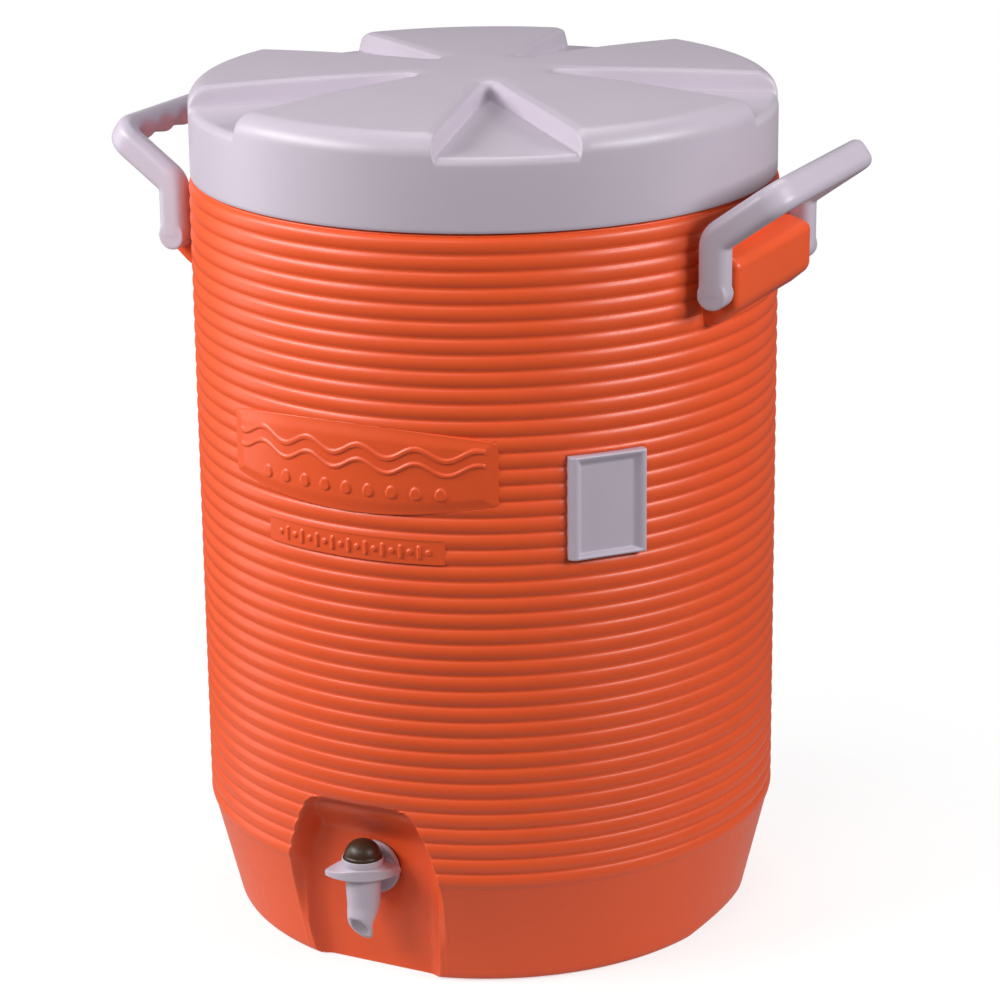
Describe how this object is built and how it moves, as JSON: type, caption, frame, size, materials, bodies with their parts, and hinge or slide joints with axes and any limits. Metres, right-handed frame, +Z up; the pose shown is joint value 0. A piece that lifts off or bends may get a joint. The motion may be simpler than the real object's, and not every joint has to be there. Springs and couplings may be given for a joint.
{
  "type": "insulated beverage dispenser",
  "caption": "Ribbed insulated drinking-water cooler with a screw-on lid, swinging side handles, a cup-dispenser bracket and a push-button spigot in a recess.",
  "frame": {"origin": "middle of the foot ring, on the floor that the cooler stands on", "axes": "+Z up along the tank's axis, -Y towards the spigot, the handles on the X sides"},
  "size_m": [0.4208, 0.3369, 0.487],
  "materials": {
    "shell_orange": "satin",
    "lid_white": "satin",
    "handle_white": "satin",
    "spigot_white": "satin",
    "liner_white": "satin",
    "button_brown": "satin",
    "foam_cream": "matte",
    "plug_orange": "matte",
    "rubber_dark": "matte",
    "seal_grey": "matte",
    "steel": "satin"
  },
  "bodies": {
    "cooler": {"outer_shell": "shell_orange", "inner_liner": "liner_white", "foam_insulation": "foam_cream", "base_fill_plug": "plug_orange", "base_vent_plug": "plug_orange", "handle_pin_right": "steel", "handle_pin_left": "steel", "cup_bracket": "handle_white", "bracket_push_nuts": "steel", "spigot_body": "spigot_white", "spigot_bonnet": "spigot_white", "stem_seal": "rubber_dark", "spigot_gasket_outer": "rubber_dark", "spigot_gasket_inner": "rubber_dark", "spigot_nut": "spigot_white"},
    "handle_right": {"handle_right": "handle_white"},
    "handle_left": {"handle_left": "handle_white"},
    "spigot_valve": {"spigot_button": "button_brown", "spigot_stem": "spigot_white", "spigot_washer": "rubber_dark", "stem_clip": "steel", "spigot_spring": "steel"},
    "lid_seal": {"lid_gasket": "seal_grey"},
    "lid": {"lid_cap": "lid_white", "lid_pan": "lid_white", "lid_plug": "lid_white", "lid_foam": "foam_cream"}
  },
  "joints": [
    {"name": "handle_right_swing", "type": "hinge", "parent": "cooler", "child": "handle_right", "pos_m": [0.1666, 0, 0.3885], "axis": [0, 1, 0], "range_deg": [0, 130]},
    {"name": "handle_left_swing", "type": "hinge", "parent": "cooler", "child": "handle_left", "pos_m": [-0.1666, 0, 0.3885], "axis": [0, -1, 0], "range_deg": [0, 130]},
    {"name": "spigot_press", "type": "slide", "parent": "cooler", "child": "spigot_valve", "axis": [0, 0, -1], "range_m": [0, 0.004], "stiffness_N_per_m": 900, "springref_m": -0.002, "deforming": ["spigot_spring"]},
    {"name": "lid_lift", "type": "slide", "parent": "cooler", "child": "lid_seal", "axis": [0, 0, 1], "range_m": [0, 0.0451]},
    {"name": "lid_turn", "type": "hinge", "parent": "lid_seal", "child": "lid", "pos_m": [0, 0, 0.4425], "axis": [0, 0, 1], "range_deg": [0, 450]}
  ],
  "couplings": [
    {"joint": "lid_lift", "follows": "lid_turn", "m_per_rad": 0.0057296}
  ]
}
